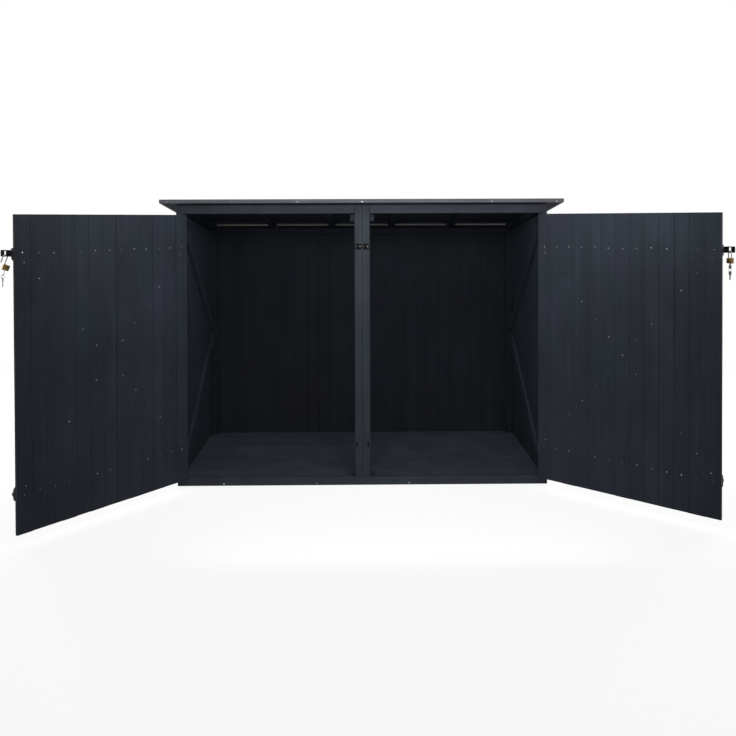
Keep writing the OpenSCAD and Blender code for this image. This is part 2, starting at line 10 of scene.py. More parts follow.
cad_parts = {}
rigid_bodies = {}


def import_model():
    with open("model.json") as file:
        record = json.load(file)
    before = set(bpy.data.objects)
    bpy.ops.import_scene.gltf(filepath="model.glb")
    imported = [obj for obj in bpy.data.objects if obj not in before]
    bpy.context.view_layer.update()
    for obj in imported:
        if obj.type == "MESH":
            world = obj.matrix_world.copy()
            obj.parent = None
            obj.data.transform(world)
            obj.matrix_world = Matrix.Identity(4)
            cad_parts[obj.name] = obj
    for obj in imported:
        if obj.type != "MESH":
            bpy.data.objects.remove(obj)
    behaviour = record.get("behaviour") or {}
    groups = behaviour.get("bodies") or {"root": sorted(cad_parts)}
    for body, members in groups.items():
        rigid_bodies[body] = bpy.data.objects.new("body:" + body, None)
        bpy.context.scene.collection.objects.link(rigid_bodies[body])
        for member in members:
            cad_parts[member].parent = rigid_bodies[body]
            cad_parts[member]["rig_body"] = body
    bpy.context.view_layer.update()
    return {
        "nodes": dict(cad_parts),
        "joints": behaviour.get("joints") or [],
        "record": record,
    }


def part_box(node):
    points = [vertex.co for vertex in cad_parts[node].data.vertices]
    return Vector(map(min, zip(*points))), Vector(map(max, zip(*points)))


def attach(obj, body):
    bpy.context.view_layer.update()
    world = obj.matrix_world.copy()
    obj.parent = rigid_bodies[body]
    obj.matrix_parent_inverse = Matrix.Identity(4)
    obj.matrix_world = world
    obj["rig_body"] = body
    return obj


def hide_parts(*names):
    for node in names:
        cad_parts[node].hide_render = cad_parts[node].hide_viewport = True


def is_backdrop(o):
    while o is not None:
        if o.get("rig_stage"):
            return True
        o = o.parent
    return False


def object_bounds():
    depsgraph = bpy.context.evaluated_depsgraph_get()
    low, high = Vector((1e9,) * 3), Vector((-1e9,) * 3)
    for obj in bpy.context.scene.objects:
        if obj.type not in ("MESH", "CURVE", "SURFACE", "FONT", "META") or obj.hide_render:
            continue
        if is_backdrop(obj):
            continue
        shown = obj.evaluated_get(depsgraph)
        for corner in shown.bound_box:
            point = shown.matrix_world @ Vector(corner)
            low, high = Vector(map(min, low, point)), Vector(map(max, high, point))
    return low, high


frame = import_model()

NODES = frame["nodes"]
SLOTS = {part["node"]: part["material_slot"] for part in frame["record"]["subparts"]}
JOINTS = {joint["name"]: joint for joint in frame["joints"]}
SIDES = {"left": -1, "right": 1}
X, Y, Z = Vector((1, 0, 0)), Vector((0, 1, 0)), Vector((0, 0, 1))

# Boards, in metres
DOOR_BOARDS = 13
SIDE_BOARDS = 12
BACK_BOARDS = 28
FLOOR_BOARDS = 8
ROOF_BOARDS = 10
V_JOINT = (0.0004, 0.0024)
BOARD_GAP = 0.0011
JOINT_SPREAD = 4
JOINT_TONE = -2.6
BOARD_SLIP = 0.0012
EDGE = 0.0022
LEDGE_EDGE = 1.6 * EDGE
CORE_SHARE = 0.3
CORE_INSET = 0.003
CORE_EDGE = 0.25
TONE_SPREAD = 0.2
GRAIN_SPREAD = 40
BRACE_GAP = 0.0003

# Limits: points on one plane, solids apart, grain that runs along w, and faces that look along a direction
NEAR = 0.001
APART = 0.1
ALONG_W = 0.5
STRAIGHT = 0.9
ROW_DIGITS = 5

# Nails, in metres, and how bright they may be
NAIL_R = 0.0024
NAIL_H = 0.0008
NAIL_STRAY = 0.003
END_NAIL_SHIFT = 0.007
HEAD_TONE = 0.6
DULL_SHARE = 1.3
ROW_TONES = {"left": 1.0, "right": 0.55}
BRACE_TONE = 0.6
TRIM_NAIL_R = 0.003
TRIM_NAIL_TONES = (0.4, 0.5, 0.9, 1.6, 0.9, 1.4, 1.6)
SIDE_TRIM_NAILS = 4
TRIM_NAIL_INSET = 0.036
TRIM_NAIL_RISE = 0.3
SILL_NAIL_Z = 0.01
SILL_NAIL_TONE = 1.6
WALL_NAIL_FOOT = 0.008
WALL_NAIL_HEAD = 0.02

# Heads: rows of (share of the radius, share of the height), with a crown on a nail and a cross in a screw
HEAD_SEGMENTS = 16
HEAD_ROWS = ((1, 0), (1, 0.35), (0.88, 0.75), (0.6, 1))
CROWN_ROW = (0.3, 1.1)
CROSS_ARM, CROSS_NOTCH = 0.5, 0.2
CROSS_TOP, CROSS_FLOOR = 1, 0.3

# Fittings' screws and collars, in metres
SCREW_R = 0.0034
SCREW_H = 0.0012
PLATE_T = 0.0025
LEAF_SCREWS = ((0.009, 0), (0.03, -0.009), (0.03, 0.009), (0.052, 0))
POST_SCREW_IN = 0.009
POST_SCREW_RISE = 0.01
HASP_SCREW_INSET = (0.008, 0.007)
HASP_PIN_ROOM = 0.013
BOLT_PLATE_T = 0.002
BOLT_SCREW_INSET = (0.0045, 0.005)
STAPLE_TONE = 0.5
STAPLE_SCREW_R = 0.0026
STAPLE_SCREW_IN = 0.007
COLLAR_R = 0.0048
COLLAR_H = 0.0028

# Felt, in metres, with the start of a lap's rise in laps
FELT_STRIPS = 3
FELT_LAP = 0.06
FELT_RISE = 1.2
FELT_PLY = 0.0014
FELT_NAILS = 26
FELT_NAIL_R = 0.0035
FELT_NAIL_IN = 0.02

# Seeds of the random draws
SEEDS = {
    "floor_deck": 11, "floor_bearers": 12, "front_sill": 13, "front_post_left": 14, "front_post_right": 15,
    "door_stops": 16, "back_top_rail": 17, "back_posts": 18, "centre_upright_left": 19,
    "centre_upright_right": 20, "front_header": 21, "left_wall": 30, "right_wall": 31, "back_wall": 32,
    "side_top_rails": 33, "side_wall_braces": 34, "roof_deck": 40, "rafters": 41, "roof_trim_front": 42,
    "roof_trim_back": 43, "roof_trim_left": 44, "roof_trim_right": 45, "left_door_boards": 50,
    "left_door_ledges": 51, "left_door_brace": 52, "left_door_half_braces": 53, "left_door_nails": 54,
    "right_door_boards": 60, "right_door_ledges": 61, "right_door_brace": 62, "right_door_half_braces": 63,
    "right_door_nails": 64, "frame_nails": 70, "screws": 71, "keeper_collars": 72,
}

# Colours, linear, from dark to light
STAIN = ((0.013, 0.0152, 0.0198), (0.026, 0.0304, 0.0394), (0.043, 0.05, 0.063))
TRIM = ((0.036, 0.0378, 0.0425), (0.0645, 0.0675, 0.0745), (0.1, 0.1035, 0.1135))
# Pale colours that paint light from the eaves gap on the last deck board's underside
EAVES_LIGHT = ((0.038, 0.037, 0.03), (0.066, 0.063, 0.052), (0.096, 0.091, 0.074))
FELT = ((0.012, 0.0125, 0.014), (0.07, 0.073, 0.077))
BLACK = ((0.0025, 0.0025, 0.0028), (0.008, 0.008, 0.0085))
ZINC = ((0.16, 0.165, 0.17), (0.4, 0.405, 0.41))
KEYS = ((0.035, 0.035, 0.036), (0.11, 0.11, 0.11))
NAILS = ((0.05, 0.05, 0.052), (0.62, 0.62, 0.61))
STEEL = ((0.13, 0.13, 0.13), (0.36, 0.36, 0.355))
BRASS = ((0.15, 0.092, 0.022), (0.36, 0.245, 0.085))
HUES = ((0.93, 1.035, 1.015), (1.05, 0.965, 1.03))
DOOR_TINT = (0.62, 0.65, 0.69)
# Half-dark tint that paints the shade inside the shelter onto its inner parts
INSIDE_SHADE_TINT = (0.5, 0.5, 0.5)
# Lighter tint that paints extra light on the floor boards
FLOOR_DECK_LIGHT_TINT = (1.1, 1.1, 1.1)
UPRIGHT_TINT = (0.86, 0.84, 0.83)
# Tint of painted shade on the side walls' inner faces and braces
WALL_SHADE_TINT = (0.78, 0.78, 0.8)

# Wood: layers of noise along and across the grain or over the whole piece
STREAK_NOISE = {"scale": (1.3, 16, 16), "detail": 1.0}
FIBRE_NOISE = {"scale": (8, 390, 390), "detail": 3.0, "roughness": 0.7}
WARP_NOISE = {"scale": (14, 30, 30), "detail": 2.0}
SMEAR_NOISE = {"scale": (7, 7, 3.5), "detail": 3.0, "roughness": 0.55}
PALE_NOISE = {"scale": (0.9, 17, 17), "detail": 2.0}
HUE_NOISE = {"scale": (3, 3, 2), "detail": 2.0}
FIGURE_SCALE = (0.5, 10, 10)
FIGURE_WAVE = {"Scale": 1.0, "Distortion": 16.0, "Detail": 3.0, "Detail_Scale": 1.4}

# Wood: knots, how much of each layer is in the shade and in the relief, and the finish
KNOT_SCALE = (4.6, 9, 9)
KNOT_WARP = (0.12, 0.2)
KNOT_RARITY = 0.84
HEART_EDGE = (0.12, 0.05)
HALO_EDGE = (0.3, 0.1)
PALE_EDGE = (0.6, 0.76)
SHADE_BASE = 0.03
SHADE_SHARES = {"streaks": 0.26, "smears": 0.62, "figure": 0.07, "fibres": 0.05, "pale": 0.16, "tone": 0.12,
                "halo": 0.06, "heart": -0.18}
MEAN_SHADE = 0.55
STAIN_STOPS = (0.18, 0.55, 0.95)
HUE_STOPS = (0.35, 0.65)
RELIEF_SHARES = {"fibres": 0.55, "figure": 0.3, "heart": 0.4}
WOOD_BUMP = (0.0012, 0.42)
WOOD_ROUGH = (0.6, 0.8)
WOOD_GLOSS = 0.13
WALL_GLOSS = 0.06
INSIDE_GLOSS = 0.03
INSIDE_CONTRAST = 0.55
NOISE_RANGE = (0.2, 0.8)
NOISE_ROUGHNESS = 0.6

# Felt, metal and nail heads: sizes of the grains and clouds, shares, stops and finishes
GRANULES = 420.0
GRANULE_SHARE = 0.5
WORN_NOISE = {"scale": (2.2, 3.5, 3.5), "detail": 5.0}
FELT_STOPS = (0.2, 0.85)
FELT_BUMP = (0.0015, 0.7)
FELT_ROUGH = (0.82, 0.97)
FELT_GLOSS = 0.25
CLOUD_DETAIL = 4.0
CLOUD_SHARE = 0.7
SCRATCH_DETAIL = 2.0
SCRATCH_STRETCH = 0.08
METAL_STOPS = (0.3, 0.7)
METAL_BUMP = (0.0002, 0.25)
METAL_GLOSS = 0.5
NAIL_CLOUDS = 600.0
NAIL_DETAIL = 3.0
NAIL_TONE_SHARE = 0.8
NAIL_STOPS = (0.1, 0.95)
NAIL_BUMP = (0.0003, 0.3)
NAIL_ROUGH = (0.6, 0.35)

# Camera: focal length and principal point in pixels of a square image, place in metres, turns in degrees
IMAGE = 736
FOCAL = 743.9766
PRINCIPAL_Y = 229.4227
CAMERA_AT = (-0.0098159, -3.8084159, 1.3616431)
CAMERA_YAW = 0.6041
CAMERA_PITCH = -0.717
CAMERA_ROLL = -0.1852
SENSOR = 36

# Light and floor
LAMPS = {
    "front": {"at": (0.15, -0.95, 1.58), "aim": (0.14, 0, 1.45), "size": (2.0, 0.25), "power": 17},
    "low_front": {"at": (0.2, -0.9, 0.25), "aim": (0.2, 0.1, 0.05), "size": (1.7, 0.2), "power": 2.9},
    "inside": {"at": (0, 0.1, 1.37), "aim": (0, 0.9, 1.325), "size": (1.7, 0.02), "power": 1.2},
    "overhead": {"at": (0.15, -1.7, 3.2), "aim": (0.05, -0.1, 0.5), "size": (1.2, 1.0), "power": 40},
    "back_left": {"at": (-1.9, 3.2, 2.3), "aim": (-0.4, 0.6, 0.7), "size": (2, 2), "power": 120},
    "back_right": {"at": (1.9, 3.2, 2.3), "aim": (0.4, 0.6, 0.7), "size": (2, 2), "power": 120},
    "side_left": {"at": (-3.5, 1.4, 1.7), "aim": (-0.95, 0.2, 0.7), "size": (1.6, 1.6), "power": 75},
    "side_right": {"at": (3.5, 1.4, 1.7), "aim": (0.95, 0.2, 0.7), "size": (1.6, 1.6), "power": 75},
}
FILL_STRENGTH = 0.14
FLOOR_R = 14
FLOOR_SEGMENTS = 96
FLOOR_STRETCH = (0.6, 1, 1)
FLOOR_FADE = (1.9, 4.2)
FLOOR_GLOW = 0.87
FLOOR_WHITE = 0.93
FLOOR_BOUNCE = 0.42


# Places: matrices that take (u, v, w) to the frame

def axes(u, v, w, origin=(0, 0, 0)):
    """A matrix with u, v and w along the three given directions."""
    place = Matrix((u, v, w)).transposed().to_4x4()
    place.translation = origin
    return place


FACING = axes(X, Z, Y)
SIDEWAYS = axes(Y, Z, X)
LEVEL = axes(X, Y, Z)


def span(node, place, keep=None):
    """Lowest and highest corner, in a place, of a node or of the points of it that keep picks."""
    back = place.inverted()
    points = [back @ vertex.co for vertex in NODES[node].data.vertices]
    points = [point for point in points if keep is None or keep(point)]
    return Vector(map(min, zip(*points))), Vector(map(max, zip(*points)))


def runs(node, place, axis):
    """The stretches that a node's solids take up along an axis, where gaps lie between them."""
    back = place.inverted()
    values = sorted((back @ vertex.co)[axis] for vertex in NODES[node].data.vertices)
    found = [[values[0], values[0]]]
    for value in values:
        if value - found[-1][1] > APART:
            found.append([value, value])
        found[-1][1] = value
    return found


def middles(low, high, count):
    """The middles of equal steps from low to high."""
    step = (high - low) / count
    return [low + (i + 0.5) * step for i in range(count)]


def door_place(side):
    """u from the hinge to the free edge, v up and w inwards through a door as it stands open."""
    joint = JOINTS[side + "_door_hinge"]
    turn = math.radians(-joint["range_deg"][0])
    along = Vector((-SIDES[side] * math.cos(turn), -math.sin(turn), 0))
    inward = Vector((-SIDES[side] * math.sin(turn), math.cos(turn), 0))
    at = joint["pos_m"]
    return axes(along, Z, inward, (at[0], at[1], 0))


# Roof: its underside falls evenly from the front to the back

deck_low_z = {}
for vertex in NODES["roof_deck"].data.vertices:
    row = round(vertex.co.y, ROW_DIGITS)
    deck_low_z[row] = min(vertex.co.z, deck_low_z.get(row, vertex.co.z))
deck_rows = sorted(deck_low_z)
ROOF_FALL = (deck_low_z[deck_rows[0]] - deck_low_z[deck_rows[-1]]) / (deck_rows[-1] - deck_rows[0])
ROOF_FRONT_Z = deck_low_z[deck_rows[0]] + deck_rows[0] * ROOF_FALL


def roof_z(y):
    """Height of the roof's underside."""
    return ROOF_FRONT_Z - y * ROOF_FALL


# u across the roof, v back along its fall and w straight up, because the roof's edges are cut upright
ROOF = axes(X, Vector((0, 1, -ROOF_FALL)), Z, (0, 0, ROOF_FRONT_Z))


# Materials

class Shader:
    """A material with short calls for its nodes."""

    def __init__(self, name):
        self.material = bpy.data.materials.new(name)
        self.material.use_nodes = True
        self.tree = self.material.node_tree
        self.surface = self.tree.nodes["Principled BSDF"]

    def node(self, kind, settings=None, **inputs):
        """A new node with its settings, and its inputs as values or as other nodes' sockets."""
        made = self.tree.nodes.new("ShaderNode" + kind)
        for key, value in (settings or {}).items():
            setattr(made, key, value)
        for key, value in inputs.items():
            self.put(made, key.replace("_", " "), value)
        return made

    def put(self, made, key, value):
        """Sets or links one input of a node, by its name or as i and its number."""
        socket = made.inputs[int(key[1:]) if key[0] == "i" and key[1:].isdigit() else key]
        if isinstance(value, bpy.types.NodeSocket):
            self.tree.links.new(value, socket)
        else:
            socket.default_value = value

    def math(self, operation, first, second=0.0, third=0.0):
        """The result of one sum on up to three values."""
        return self.node("Math", {"operation": operation}, i0=first, i1=second, i2=third).outputs[0]

    def shared(self, first, second, share):
        """A share of the first value and the rest of the second."""
        rest = self.math("MULTIPLY", second, 1 - share)
        return self.math("ADD", self.math("MULTIPLY", first, share), rest)

    def stretched(self, vector, scale):
        """Coordinates scaled along each axis."""
        return self.node("Mapping", Vector=vector, Scale=scale).outputs[0]

    def noise(self, vector, detail, roughness=NOISE_ROUGHNESS, size=1.0):
        """Noise from 0 to 1."""
        made = self.node("TexNoise", Vector=vector, Scale=size, Detail=detail, Roughness=roughness)
        return made.outputs[0]

    def layer(self, vector, scale, detail, roughness=NOISE_ROUGHNESS):
        """Noise that is stretched along each axis."""
        return self.noise(self.stretched(vector, scale), detail, roughness)

    def between(self, value, low, high, to_low=0.0, to_high=1.0):
        """A value mapped smoothly from one range to another."""
        made = self.node("MapRange", {"interpolation_type": "SMOOTHSTEP"}, Value=value)
        for key, limit in (("From Min", low), ("From Max", high), ("To Min", to_low), ("To Max", to_high)):
            self.put(made, key, limit)
        return made.outputs[0]

    def ramp(self, value, stops, colours):
        """Colours at stops along a value."""
        made = self.node("ValToRGB", Fac=value)
        ramp = made.color_ramp
        while len(ramp.elements) < len(stops):
            ramp.elements.new(1.0)
        for element, at, colour in zip(ramp.elements, stops, colours):
            element.position = at
            element.color = (*colour, 1)
        return made.outputs[0]

    def bump(self, height, distance, strength):
        """Sets the surface's bump from a height between 0 and 1."""
        made = self.node("Bump", Height=height, Distance=distance, Strength=strength)
        self.put(self.surface, "Normal", made.outputs[0])

    def finish(self, colour, roughness, **constants):
        """Sets the colour, roughness and other inputs of the surface."""
        self.put(self.surface, "Base Color", colour)
        self.put(self.surface, "Roughness", roughness)
        for key, value in constants.items():
            self.put(self.surface, key.replace("_", " "), value)
        return self.material


def knots(s, grain):
    """Hearts and halos of a few knots along the grain."""
    warp = s.layer(grain, **WARP_NOISE)
    along, across = (s.math("MULTIPLY", warp, by) for by in KNOT_WARP)
    shift = s.node("CombineXYZ", X=along, Y=across).outputs[0]
    at = s.node("VectorMath", {"operation": "ADD"}, i0=s.stretched(grain, KNOT_SCALE), i1=shift).outputs[0]
    cells = s.node("TexVoronoi", {"voronoi_dimensions": "2D"}, Vector=at, Scale=1.0)
    draw = s.node("SeparateColor", Color=cells.outputs["Color"]).outputs[0]
    chosen = s.math("GREATER_THAN", draw, KNOT_RARITY)
    away = cells.outputs["Distance"]
    return [s.math("MULTIPLY", s.between(away, *edge), chosen) for edge in (HEART_EDGE, HALO_EDGE)]


def stained_wood(name, colours, tint=(1, 1, 1), gloss=WOOD_GLOSS, contrast=1.0):
    """Sawn boards under a thin stain: smears, streaks, fibres, figure, knots and a tone for each board."""
    s = Shader(name)
    grain = s.node("Attribute", {"attribute_name": "grain"}).outputs["Vector"]
    broad = s.node("TexCoord").outputs["Object"]
    wave = s.node("TexWave", {"bands_direction": "Y"}, Vector=s.stretched(grain, FIGURE_SCALE), **FIGURE_WAVE)
    heart, halo = knots(s, grain)
    layers = {
        "streaks": s.layer(grain, **STREAK_NOISE),
        "smears": s.layer(broad, **SMEAR_NOISE),
        "figure": wave.outputs["Fac"],
        "fibres": s.layer(grain, **FIBRE_NOISE),
        "pale": s.between(s.layer(grain, **PALE_NOISE), *PALE_EDGE),
        "tone": s.node("Attribute", {"attribute_name": "tone"}).outputs["Fac"],
        "halo": halo,
        "heart": heart,
    }
    shade = SHADE_BASE
    for key, share in SHADE_SHARES.items():
        shade = s.math("MULTIPLY_ADD", layers[key], share, shade)
    shade = s.math("MULTIPLY_ADD", shade, contrast, MEAN_SHADE * (1 - contrast))
    tinted = [[a * b for a, b in zip(colour, tint)] for colour in colours]
    stain = s.ramp(shade, STAIN_STOPS, tinted)
    hue = s.ramp(s.layer(broad, **HUE_NOISE), HUE_STOPS, HUES)
    mix = s.node("Mix", {"data_type": "RGBA", "blend_type": "MULTIPLY"}, i0=1.0, i6=stain, i7=hue)
    raised = [s.math("MULTIPLY", layers[key], share) for key, share in RELIEF_SHARES.items()]
    height = s.math("SUBTRACT", s.math("ADD", raised[0], raised[1]), raised[2])
    s.bump(height, *WOOD_BUMP)
    rough = s.between(layers["fibres"], *NOISE_RANGE, *WOOD_ROUGH)
    return s.finish(mix.outputs[2], rough, Specular_IOR_Level=gloss)


def roofing_felt():
    """Mineral felt: pale and dark granules over broad worn patches."""
    s = Shader("roofing_felt")
    at = s.node("TexCoord").outputs["Object"]
    grains = s.node("TexVoronoi", Vector=at, Scale=GRANULES)
    speck = s.node("SeparateColor", Color=grains.outputs["Color"]).outputs[0]
    worn = s.layer(at, **WORN_NOISE)
    colour = s.ramp(s.shared(speck, worn, GRANULE_SHARE), FELT_STOPS, FELT)
    s.bump(s.math("SUBTRACT", 1.0, grains.outputs["Distance"]), *FELT_BUMP)
    return s.finish(colour, s.between(worn, *NOISE_RANGE, *FELT_ROUGH), Specular_IOR_Level=FELT_GLOSS)


def metal(name, colours, metallic, rough, cloud, scratch, gloss=METAL_GLOSS):
    """Plated or painted metal: cloudy tone and fine scratches."""
    s = Shader(name)
    at = s.node("TexCoord").outputs["Object"]
    clouds = s.noise(at, CLOUD_DETAIL, size=cloud)
    lines = s.layer(at, (scratch, scratch, scratch * SCRATCH_STRETCH), SCRATCH_DETAIL)
    shade = s.shared(clouds, lines, CLOUD_SHARE)
    s.bump(lines, *METAL_BUMP)
    colour = s.ramp(shade, METAL_STOPS, colours)
    rough = s.between(shade, *METAL_STOPS, *rough)
    return s.finish(colour, rough, Metallic=metallic, Specular_IOR_Level=gloss)


def nail_heads():
    """Plated heads, each as bright or as dull as its tone says."""
    s = Shader("nail_heads")
    tone = s.node("Attribute", {"attribute_name": "tone"}).outputs["Fac"]
    clouds = s.noise(s.node("TexCoord").outputs["Object"], NAIL_DETAIL, size=NAIL_CLOUDS)
    shade = s.shared(tone, clouds, NAIL_TONE_SHARE)
    s.bump(clouds, *NAIL_BUMP)
    colour = s.ramp(shade, NAIL_STOPS, NAILS)
    return s.finish(colour, s.between(shade, 0, 1, *NAIL_ROUGH), Metallic=1.0)


MATERIALS = {
    "stained_wood": stained_wood("stained_wood", STAIN),
    "trim_wood": stained_wood("trim_wood", TRIM),
    "roofing_felt": roofing_felt(),
    "black_steel": metal("black_steel", BLACK, metallic=0.0, rough=(0.35, 0.55), cloud=90.0, scratch=700.0,
                         gloss=0.05),
    "zinc_steel": metal("zinc_steel", ZINC, metallic=1.0, rough=(0.28, 0.48), cloud=160.0, scratch=900.0),
    "shackle_steel": metal("shackle_steel", STEEL, metallic=1.0, rough=(0.14, 0.3), cloud=120.0,
                           scratch=1100.0),
    "brass": metal("brass", BRASS, metallic=0.65, rough=(0.3, 0.5), cloud=140.0, scratch=1300.0),
}
NAIL_FINISH = nail_heads()
DOOR_FINISH = stained_wood("stained_wood_doors", STAIN, DOOR_TINT)
# The inside finish paints shade on the shelter's inner parts, smoother and less glossy
INSIDE_SHADE_FINISH = stained_wood("stained_wood_inside_painted_shade", STAIN, INSIDE_SHADE_TINT, INSIDE_GLOSS, INSIDE_CONTRAST)
# The floor finish is lighter with painted light
FLOOR_DECK_LIT_FINISH = stained_wood("stained_wood_floor_painted_light", STAIN, FLOOR_DECK_LIGHT_TINT)
UPRIGHT_FINISH = stained_wood("stained_wood_uprights", STAIN, UPRIGHT_TINT)
# The walls' inner finish paints the shade inside the shelter
WALL_SHADE_FINISH = stained_wood("stained_wood_walls_painted_shade", STAIN, WALL_SHADE_TINT, WALL_GLOSS)
# A pale finish for painted light at the eaves
EAVES_LIGHT_FINISH = stained_wood("painted_eaves_light", EAVES_LIGHT)
KEY_FINISH = metal("key_steel", KEYS, metallic=1.0, rough=(0.25, 0.4), cloud=160.0, scratch=900.0)


# Building meshes

def inset(points, by):
    """A convex outline, counter-clockwise, moved inwards."""
    moved = []
    for before, here, after in zip(points[-1:] + points[:-1], points, points[1:] + points[:1]):
        first, second = (here - before).normalized(), (after - here).normalized()
        inward = Vector((-first.y, first.x)) + Vector((-second.y, second.x))
        moved.append(here + inward * (2 * by / inward.length_squared))
    return moved


def counter_clockwise(points):
    """The points of an outline as vectors, counter-clockwise."""
    points = [Vector(point) for point in points]
    area = sum(a.x * b.y - b.x * a.y for a, b in zip(points, points[1:] + points[:1]))
    return points if area > 0 else points[::-1]


def close_rings(bm, rings):
    """Faces from ring to ring, and over the first and the last one."""
    bm.faces.new(rings[0][::-1])
    bm.faces.new(rings[-1])
    count = len(rings[0])
    for low, high in zip(rings, rings[1:]):
        for i in range(count):
            j = (i + 1) % count
            bm.faces.new((low[i], low[j], high[j], high[i]))


def add_piece(bm, name, slot, body, nodes=(), finish=None):
    """Turns a built mesh into a piece that rides on a body and stands for nodes."""
    bmesh.ops.recalc_face_normals(bm, faces=bm.faces)
    mesh = bpy.data.meshes.new(name)
    bm.to_mesh(mesh)
    bm.free()
    mesh.materials.append(finish or MATERIALS[slot])
    piece = bpy.data.objects.new(name, mesh)
    bpy.context.scene.collection.objects.link(piece)
    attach(piece, body)
    if nodes:
        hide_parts(*nodes)
    return piece


def refinish(piece, finish, direction, behind=-math.inf):
    """Gives the faces behind a y that look straight along a direction a finish of their own."""
    piece.data.materials.append(finish)
    for face in piece.data.polygons:
        chosen = face.normal.dot(direction) > STRAIGHT and face.center.y > behind
        face.material_index = int(chosen)


class Timber:
    """Collects a node's timbers in one mesh. Each has its own grain direction, grain place and tone."""

    def __init__(self, node):
        self.node = node
        self.bm = bmesh.new()
        self.grain = self.bm.verts.layers.float_vector.new("grain")
        self.tone = self.bm.verts.layers.float.new("tone")
        self.chance = random.Random(SEEDS[node])

    def add(self, place, outline, depth, along=Y, chamfer=EDGE, edge_tone=0.0):
        """A prism of a convex outline of (u, v) points between two depths, with both faces chamfered."""
        outline = counter_clockwise(outline)
        across = along.cross(Z) if abs(along.z) < ALONG_W else X
        third = along.cross(across)
        offset = Vector([self.chance.uniform(0, GRAIN_SPREAD) for _ in range(3)])
        tone = max(-1, min(1, self.chance.gauss(0, TONE_SPREAD)))
        near, far = depth
        levels = ((near, chamfer), (near + chamfer, 0), (far - chamfer, 0), (far, chamfer))
        rings = []
        for w, by in levels:
            ring = []
            for point in inset(outline, by) if by else outline:
                at = Vector((point.x, point.y, w))
                vertex = self.bm.verts.new(place @ at)
                vertex[self.grain] = Vector((at.dot(along), at.dot(across), at.dot(third))) + offset
                vertex[self.tone] = tone if by else tone + edge_tone
                ring.append(vertex)
            rings.append(ring)
        close_rings(self.bm, rings)

    def box(self, place, low, high, along=Y, chamfer=EDGE):
        """A straight timber between two corners."""
        outline = [(low.x, low.y), (high.x, low.y), (high.x, high.y), (low.x, high.y)]
        self.add(place, outline, (low.z, high.z), along, chamfer)

    def boarding(self, place, low, high, count, upright=True, top=None):
        """A row of boards with V joints, and the tongues between them as one thin sheet."""
        top = top or (lambda u: high.y)
        axis, along = (0, Y) if upright else (1, X)
        pitch = (high[axis] - low[axis]) / count
        gaps = [0] + [BOARD_GAP * self.chance.random() ** JOINT_SPREAD for _ in range(count - 1)] + [0]
        for i in range(count):
            start = low[axis] + i * pitch + gaps[i] / 2
            end = low[axis] + (i + 1) * pitch - gaps[i + 1] / 2
            slip = self.chance.uniform(0, BOARD_SLIP)
            joint = V_JOINT[0] + (V_JOINT[1] - V_JOINT[0]) * self.chance.random() ** JOINT_SPREAD
            if upright:
                foot = low.y + slip
                outline = [(start, foot), (end, foot), (end, top(end)), (start, top(start))]
            else:
                left, right = low.x + slip, high.x - slip
                outline = [(left, start), (right, start), (right, end), (left, end)]
            self.add(place, outline, (low.z, high.z), along, joint, JOINT_TONE)
        middle, half = (low.z + high.z) / 2, (high.z - low.z) * CORE_SHARE / 2
        left, right, foot = low.x + CORE_INSET, high.x - CORE_INSET, low.y + CORE_INSET
        heads = top(high.x) - CORE_INSET, top(low.x) - CORE_INSET
        core = [(left, foot), (right, foot), (right, heads[0]), (left, heads[1])]
        self.add(place, core, (middle - half, middle + half), along, half * CORE_EDGE)

    def piece(self, finish=None):
        """Makes the collected timbers the piece that stands for the node."""
        body = NODES[self.node]["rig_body"]
        return add_piece(self.bm, self.node + "_timber", SLOTS[self.node], body, [self.node], finish)


class Studs:
    """Collects the heads of nails and screws in one mesh."""

    def __init__(self, seed):
        self.bm = bmesh.new()
        self.tone = self.bm.verts.layers.float.new("tone")
        self.chance = random.Random(seed)

    def stray(self):
        """A small way off the mark."""
        return self.chance.uniform(-NAIL_STRAY, NAIL_STRAY)

    def add(self, at, normal, radius=NAIL_R, height=NAIL_H, cross=False, bright=HEAD_TONE):
        """A low domed head on a face, up to as bright as given, with a cross recess on a screw."""
        tone = min(1, bright * self.chance.random() ** DULL_SHARE)
        turn = Z.rotation_difference(normal).to_matrix().to_4x4()
        turn.translation = at
        rows = [([share] * HEAD_SEGMENTS, rise) for share, rise in HEAD_ROWS]
        if cross:
            star = [CROSS_ARM if i % 4 in (0, 3) else CROSS_NOTCH for i in range(HEAD_SEGMENTS)]
            rows += [(star, CROSS_TOP), (star, CROSS_FLOOR)]
        else:
            rows.append(([CROWN_ROW[0]] * HEAD_SEGMENTS, CROWN_ROW[1]))
        rings = []
        for reach, rise in rows:
            ring = []
            for i in range(HEAD_SEGMENTS):
                angle = 2 * math.pi * (i + 0.5) / HEAD_SEGMENTS
                out = Vector((math.cos(angle), math.sin(angle), 0)) * (radius * reach[i])
                vertex = self.bm.verts.new(turn @ (out + Z * (height * rise)))
                vertex[self.tone] = tone
                ring.append(vertex)
            rings.append(ring)
        close_rings(self.bm, rings)

    def piece(self, name, slot, body):
        """Makes the collected heads a piece on a body."""
        finish = NAIL_FINISH if slot == "zinc_steel" else None
        return add_piece(self.bm, name, slot, body, finish=finish)


# Floor and frame

def single(node, place, along, keeps=(None,), finish=None):
    """Straight timbers in place of a node whose solids are boxes in a place."""
    timber = Timber(node)
    for keep in keeps:
        low, high = span(node, place, keep)
        timber.box(place, low, high, along)
    return timber.piece(finish)


def in_runs(node, place, axis, along, finish=None):
    """Straight timbers in place of a node whose solids lie one after another along an axis."""
    keeps = [lambda p, r=run: r[0] - NEAR < p[axis] < r[1] + NEAR for run in runs(node, place, axis)]
    return single(node, place, along, keeps, finish)


